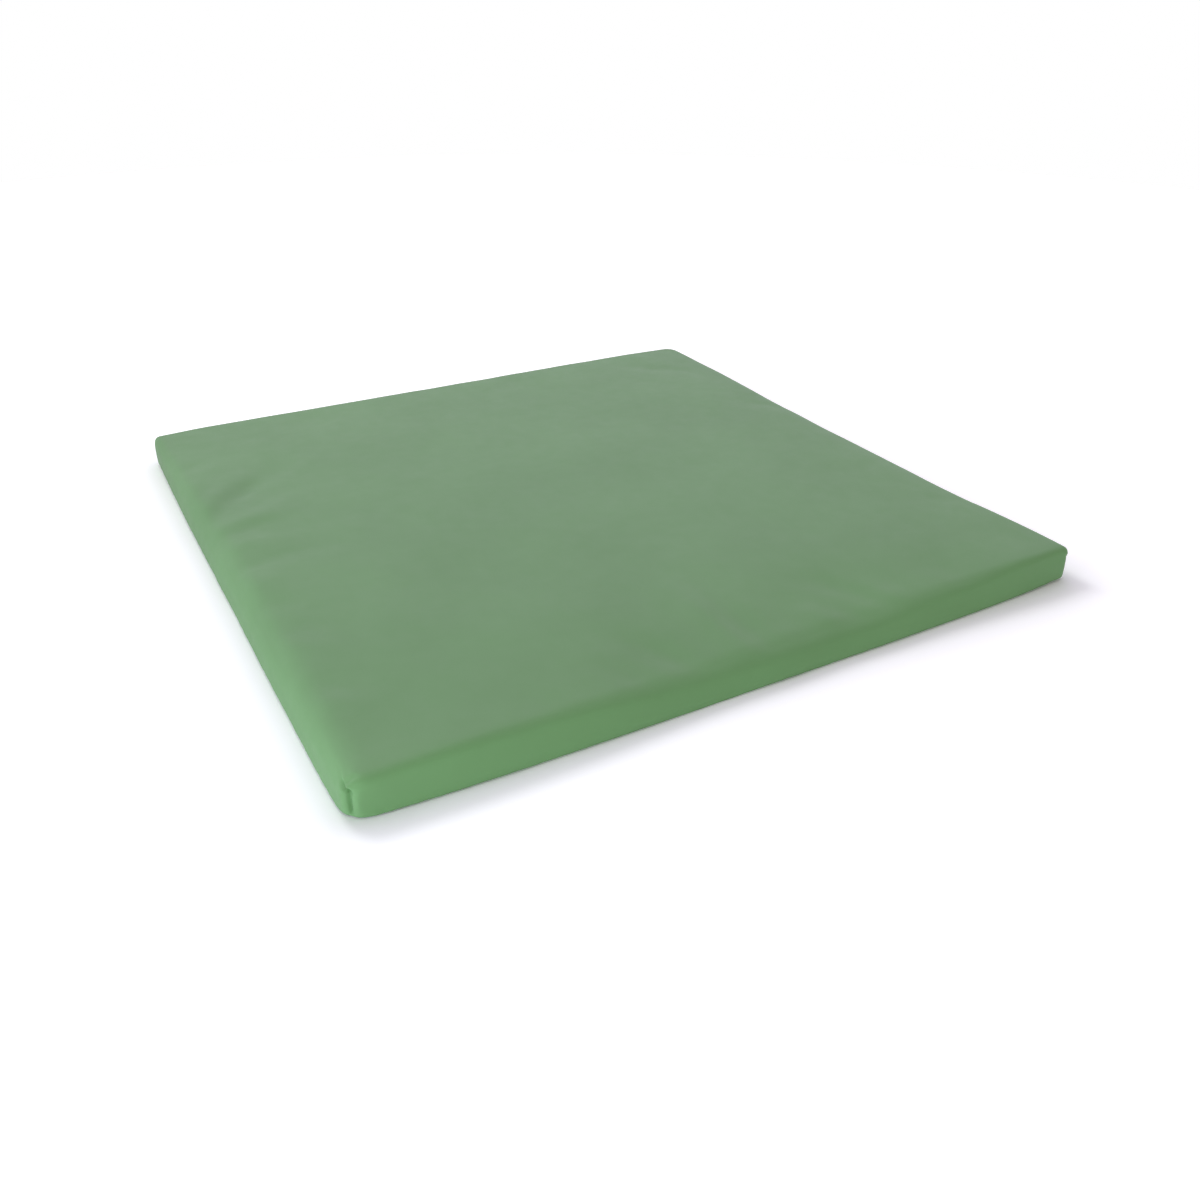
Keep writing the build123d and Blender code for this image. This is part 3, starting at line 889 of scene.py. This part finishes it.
def mark_back_wall(vertices, faces, levels, rings):
    """Numbers the faces of the strip below the zip and of the zip's window, and 0 for the rest."""
    heights = np.array([height for _, height in rings])
    on_back = vertices[:, 1] > HALF - 12
    wall = np.nonzero(on_back & (vertices[:, 2] <= WINDOW_HIGH + 0.01))[0]
    for edge in (-STRIP_HIGH[0], -WINDOW_HALF, WINDOW_HALF, STRIP_HIGH[0]):
        gap = np.abs(vertices[wall, 0] - edge)
        vertices[wall[gap <= gap.min() + 0.01], 0] = edge
    marks = np.zeros(len(faces), int)
    for number, (face, level) in enumerate(zip(faces, levels)):
        if level < 0 or not on_back[list(face)].all():
            continue
        low, high = heights[level + 1], heights[level]
        reach = np.abs(vertices[list(face), 0]).max() - 0.01
        if high < WINDOW_LOW + 0.01 and reach <= STRIP_HIGH[0]:
            marks[number] = STRIP_MARK
        elif WINDOW_LOW - 0.01 < low and high < WINDOW_HIGH + 0.01 and reach <= WINDOW_HALF:
            marks[number] = WINDOW_MARK
    return marks


def hem(obj):
    """Turns the cut edges on the back wall inward, as the folded hems beside the zip."""
    shape = bmesh.new()
    shape.from_mesh(obj.data)
    limit = (SEAM_INSET + 1.5) * MM
    edges = [
        e
        for e in shape.edges
        if e.is_boundary and all(v.co.y > HALF * MM - limit and v.co.z > 1.2 * MM for v in e.verts)
    ]
    for back, inset in ((0.35, 0.25), (0.5, 0.15), (HEM_DEPTH - 0.85, 0.0)):
        made = bmesh.ops.extrude_edge_only(shape, edges=edges)["geom"]
        inner = [g for g in made if isinstance(g, bmesh.types.BMVert)]
        for v in inner:
            toward = (ZIP_HEIGHT * MM - v.co.z) if abs(v.co.x) < STRIP_HIGH[0] * MM - 1e-4 else 0
            v.co.y -= back * MM
            v.co.z += math.copysign(inset * MM, toward) if toward else 0
        edges = [g for g in made if isinstance(g, bmesh.types.BMEdge) and g.is_boundary]
    bmesh.ops.recalc_face_normals(shape, faces=shape.faces)
    shape.to_mesh(obj.data)
    shape.free()
    obj.data.shade_smooth()


def split_marked(obj, name, mark):
    """Takes the faces with one mark out of a piece, into a piece of their own."""
    other = bpy.data.objects.new(name, obj.data.copy())
    bpy.context.scene.collection.objects.link(other)
    for piece, keep in ((obj, False), (other, True)):
        shape = bmesh.new()
        shape.from_mesh(piece.data)
        gone = [f for f in shape.faces if (f.material_index == mark) != keep]
        bmesh.ops.delete(shape, geom=gone, context="FACES")
        shape.to_mesh(piece.data)
        shape.free()
    return other


def make_cover(foam):
    """The cover's top sheet with its walls, and the separate strip below the zip."""
    rings = side_profile()
    lines = grid_lines(HALF - FLAT_INSET, fine=5.5, coarse=13.0, band=40.0)
    vertices, faces, levels = slab_mesh(lines, rings)
    marks = mark_back_wall(vertices, faces, levels, rings)
    cover = new_object("cover_top_sheet_sewn", settle(vertices, folds=DRAPE_FOLDS), faces)
    cover.data.polygons.foreach_set("material_index", marks)
    # an empty slot for each mark, so that no modifier drops the marks
    for _ in range(3):
        cover.data.materials.append(None)
    drape(cover, foam, vertices)
    subdivide = cover.modifiers.new("subdivide", "SUBSURF")
    subdivide.levels = subdivide.render_levels = 1
    apply_modifiers(cover)
    set_points(cover, pinch_corners(points_of(cover), normals_of(cover)))
    set_points(cover, pucker_seams(points_of(cover), normals_of(cover)))
    strip = split_marked(cover, "lower_strip_sheet", STRIP_MARK)
    bpy.data.objects.remove(split_marked(cover, "window", WINDOW_MARK))
    for piece in (cover, strip):
        hem(piece)
        piece.data.polygons.foreach_set("material_index", np.zeros(len(piece.data.polygons), int))
    return cover, strip


# ---------------------------------------------------------------- thread, zip and patches

def tube_faces(first, rings, sides):
    """The faces between rings of points, each ring straight after the one before it."""
    faces = []
    for start in range(first, first + (rings - 1) * sides, sides):
        for k in range(sides):
            a, b = start + k, start + (k + 1) % sides
            faces.append((a, b, b + sides, a + sides))
    return faces


def along_path(path, pitch):
    """Evenly spaced places and directions along a line of points."""
    path = np.asarray(path, float)
    steps = np.linalg.norm(np.diff(path, axis=0), axis=1)
    reach = np.concatenate([[0], np.cumsum(steps)])
    count = int(reach[-1] // pitch)
    spots = (np.arange(count) + 0.5) * reach[-1] / count
    places = np.stack([np.interp(spots, reach, path[:, k]) for k in range(3)], 1)
    before = np.stack([np.interp(spots - 0.4, reach, path[:, k]) for k in range(3)], 1)
    after = np.stack([np.interp(spots + 0.4, reach, path[:, k]) for k in range(3)], 1)
    ways = after - before
    return places, ways / np.linalg.norm(ways, axis=1, keepdims=True)


def stitch_row(name, path, outward, length, pitch, radius, seed):
    """A row of sewn stitches: short plump threads whose two ends dive into the cloth."""
    draw = np.random.default_rng(seed)
    places, ways = along_path(path, pitch)
    outward = np.broadcast_to(np.asarray(outward, float), places.shape)
    sideways = np.cross(ways, outward)
    sections, sides = 5, 6
    vertices, faces = [], []
    for place, way, out, side in zip(places, ways, outward, sideways):
        turned = way + side * (STITCH_SLANT + draw.normal(0, 0.03))
        long = length * draw.uniform(0.94, 1.05)
        base = len(vertices)
        for t in np.linspace(-1, 1, sections):
            middle = place + turned * long / 2 * t + out * radius * (0.85 - 1.7 * t**4)
            around = radius * (1 - 0.55 * t**4)
            for k in range(sides):
                angle = 2 * math.pi * k / sides
                vertices.append(middle + around * (math.cos(angle) * side + math.sin(angle) * out))
        faces += tube_faces(base, sections, sides)
        faces.append(tuple(base + k for k in reversed(range(sides))))
        faces.append(tuple(base + (sections - 1) * sides + k for k in range(sides)))
    return new_object(name, vertices, faces)


def base_seam_path():
    lines = grid_lines(HALF - FLAT_INSET, fine=4.0, coarse=8.0, band=30.0)
    place = outline(SEAM_INSET - SEAM_GAP / 2, lines)
    ring = np.column_stack([place, np.zeros(len(place))])
    ring = settle(ring, folds=0)
    return np.concatenate([ring, ring[:1]]) + [0, 0, 0.12]


def corner_seam_path(cover, name):
    """Down the bottom of a corner's valley, found on the finished cover."""
    tree = BVHTree.FromObject(cover, bpy.context.evaluated_depsgraph_get())
    sx, sy = CORNERS[name]["at"]
    inward = Vector((-sx, -sy, 0)).normalized()
    low, high = (mm(corner)[2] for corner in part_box("corner_seam_thread_" + name))
    spot = seam_spot(name)
    path = []
    for z in np.linspace(low, high, 14):
        start = Vector((spot[0], spot[1], z)) * MM - inward * 0.05
        hit = tree.ray_cast(start, inward)[0]
        path.append(np.array(hit) / MM)
    return np.array(path), -np.array(inward)


def closed_strip(name, xs, zs, front, back, wave):
    """A thin strip standing on edge, closed all round, with a slightly uneven face."""
    gx, gz = np.meshgrid(xs, zs, indexing="ij")
    bend = wave * ripple(gx, gz * 3, 60, 51)
    sheets = [np.stack([gx, np.full_like(gx, y) + bend, gz], -1).reshape(-1, 3) for y in (front, back)]
    n, m = gx.shape
    index = np.arange(n * m).reshape(n, m)
    faces = []
    for i in range(n - 1):
        for j in range(m - 1):
            face = (index[i, j], index[i, j + 1], index[i + 1, j + 1], index[i + 1, j])
            faces += [face, tuple(v + n * m for v in reversed(face))]
    rim = [*index[:-1, 0], *index[-1, :-1], *index[:0:-1, -1], *index[0, :0:-1]]
    for a, b in zip(rim, rim[1:] + rim[:1]):
        faces.append((a, b, b + n * m, a + n * m))
    return new_object(name, np.concatenate(sheets), [tuple(int(v) for v in f) for f in faces])


def rounded_patch(name, low, high, corner=2.2, rings=7):
    """A small sewn patch: rounded corners, soft edges and a face pulled down along its stitching."""
    middle, half = (low + high) / 2, (high - low) / 2
    stitching = 0.80
    around = []
    for sx, sz, first in ((1, 1, 0), (-1, 1, 90), (-1, -1, 180), (1, -1, 270)):
        for turn in np.radians(first + np.linspace(0, 90, 7)):
            out, rise = corner * math.cos(turn), corner * math.sin(turn)
            around.append((sx * (half[0] - corner) + out, sz * (half[2] - corner) + rise))
    around = np.array(around)
    count = len(around)
    vertices = []
    profile = [(1.0, low[1]), (1.0, high[1] - 0.35), (0.985, high[1] - 0.12), (0.955, high[1])]
    for share in np.linspace(0.91, 0.12, rings):
        dip = 0.18 * float(bell(share - stitching, 0.07))
        profile.append((share, high[1] - dip + 0.05 * (1 - share)))
    for share, y in profile:
        for x, z in around:
            vertices.append((middle[0] + x * share, y, middle[2] + z * share))
    faces = tube_faces(0, len(profile), count)
    faces.append(tuple((len(profile) - 1) * count + k for k in range(count)))
    faces.append(tuple(reversed(range(count))))
    made = new_object(name, vertices, faces)
    border = np.array(
        [(middle[0] + x * stitching, high[1] - 0.12, middle[2] + z * stitching) for x, z in around]
    )
    return made, np.concatenate([border, border[:1]])


def coil_row(name, node, upper, pitch=1.3, wire=0.42):
    """One side of a nylon zip: a flattened spiral whose heads reach into the other side's gaps."""
    low, high = (mm(corner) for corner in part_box(node))
    turns = int((high[0] - low[0]) / pitch)
    depth = (high[1] - low[1]) / 2 - wire
    middle_y = (low[1] + high[1]) / 2
    sides, per_turn = 5, 10
    t = np.arange(turns * per_turn + 1) / per_turn
    angle = 2 * math.pi * t
    across = (high[2] - low[2]) / 2 - wire / 2
    sign = 1 if upper else -1
    centre = (low[2] + high[2]) / 2 - sign * 0.30
    phase = 0.25 if upper else 0.75
    x = low[0] + wire + (t + phase) * (high[0] - low[0] - 2 * wire) / (turns + 1)
    x = x + 0.22 * pitch * np.sin(angle)
    z = centre - sign * across * np.cos(angle) * (1 - 0.10 * np.cos(angle))
    y = middle_y + depth * np.sin(angle)
    line = np.stack([x, y, z], 1)
    way = np.gradient(line, axis=0)
    way /= np.linalg.norm(way, axis=1, keepdims=True)
    one = np.cross(way, np.array([1.0, 0, 0]))
    one /= np.linalg.norm(one, axis=1, keepdims=True)
    two = np.cross(way, one)
    head = 1 + 0.22 * np.clip(np.cos(angle), 0, 1) ** 4
    rings = []
    for k in range(sides):
        turn = 2 * math.pi * k / sides
        rings.append(line + (wire * head)[:, None] * (math.cos(turn) * one + math.sin(turn) * two))
    vertices = np.stack(rings, 1).reshape(-1, 3)
    return new_object(name, vertices, tube_faces(0, len(line), sides))


def cast_metal(node, name, voxel):
    """A small metal part with its CAD shape and the softly rounded edges of a casting."""
    made = bpy.data.objects.new(name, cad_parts[node].data.copy())
    bpy.context.scene.collection.objects.link(made)
    skin = made.modifiers.new("skin", "REMESH")
    skin.mode = "VOXEL"
    skin.voxel_size = voxel * MM
    soften = made.modifiers.new("soften", "SMOOTH")
    soften.factor = 0.5
    soften.iterations = 6
    apply_modifiers(made)
    made.data.shade_smooth()
    return made


make_camera()
make_studio()
GREEN = leathercloth("green_leathercloth", (0.150, 0.318, 0.128), (0.139, 0.295, 0.118))
FOAM = open_cell_foam("open_cell_foam")
THREAD = thread_fibre("green_thread", (0.100, 0.215, 0.090), (0.150, 0.300, 0.130))
TAPE = woven("zip_tape_weave", (0.030, 0.085, 0.032), (0.085, 0.190, 0.080))
NYLON = nylon("zip_nylon", (0.050, 0.125, 0.048), (0.075, 0.165, 0.068))
METAL = plated_metal("plated_metal")

foam = make_foam()
cover, strip = make_cover(foam)
finish_piece(foam, "mat", "foam", FOAM, "foam_core")
finish_piece(cover, "mat", "cover", GREEN, "cover_top_sheet")
finish_piece(strip, "mat", "cover", GREEN, "back_wall_lower_strip")
panel = finish_piece(make_base_panel(), "mat", "cover", GREEN, "cover_base_panel")

base_row = stitch_row(
    "base_seam_stitches", base_seam_path(), (0, 0, -1), length=2.8, pitch=3.8, radius=0.25, seed=61
)
finish_piece(base_row, "mat", "thread", THREAD, "base_seam_thread")
for name in CORNERS:
    path, outward = corner_seam_path(cover, name)
    row = stitch_row(
        "corner_seam_stitches_" + name, path, outward, length=2.2, pitch=3.0, radius=0.28, seed=62
    )
    finish_piece(row, "mat", "thread", THREAD, "corner_seam_thread_" + name)
for side in ("lower", "upper"):
    low, high = (mm(corner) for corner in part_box("zip_stitch_" + side))
    middle = (low[2] + high[2]) / 2
    line = np.array([(x, high[1] - 0.25, middle) for x in np.linspace(low[0], high[0], 200)])
    row = stitch_row(
        "zip_stitches_" + side, line, (0, 1, 0), length=2.5, pitch=3.2, radius=0.26, seed=63
    )
    finish_piece(row, "mat", "thread", THREAD, "zip_stitch_" + side)

    low, high = (mm(corner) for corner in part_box("zip_tape_" + side))
    xs, zs = np.linspace(low[0], high[0], 180), np.linspace(low[2], high[2], 8)
    tape = closed_strip(f"zip_tape_{side}_woven", xs, zs, high[1], low[1], wave=0.06)
    finish_piece(tape, "mat", "zip_tape", TAPE, "zip_tape_" + side)

    coil = coil_row(f"zip_coil_{side}_spiral", "zip_coil_" + side, side == "upper")
    finish_piece(coil, "mat", "zip_coil", NYLON, "zip_coil_" + side)

for side in ("left", "right"):
    low, high = (mm(corner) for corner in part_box("zip_end_patch_" + side))
    patch, border = rounded_patch(f"zip_end_patch_{side}_sewn", low, high)
    finish_piece(patch, "mat", "cover", GREEN, "zip_end_patch_" + side)
    row = stitch_row(
        f"zip_end_patch_{side}_stitches", border, (0, 1, 0), length=1.9, pitch=2.5, radius=0.24, seed=64
    )
    finish_piece(row, "mat", "thread", THREAD)

for node, name, voxel, body in (
    ("zip_slider_body", "zip_slider_cast", 0.14, "zip_slider"),
    ("zip_pull_tab", "zip_pull_tab_cast", 0.14, "pull_tab"),
    ("zip_top_stops", "zip_top_stops_pressed", 0.12, "mat"),
    ("zip_bottom_stop", "zip_bottom_stop_pressed", 0.12, "mat"),
):
    finish_piece(cast_metal(node, name, voxel), body, "zip_metal", METAL, node)
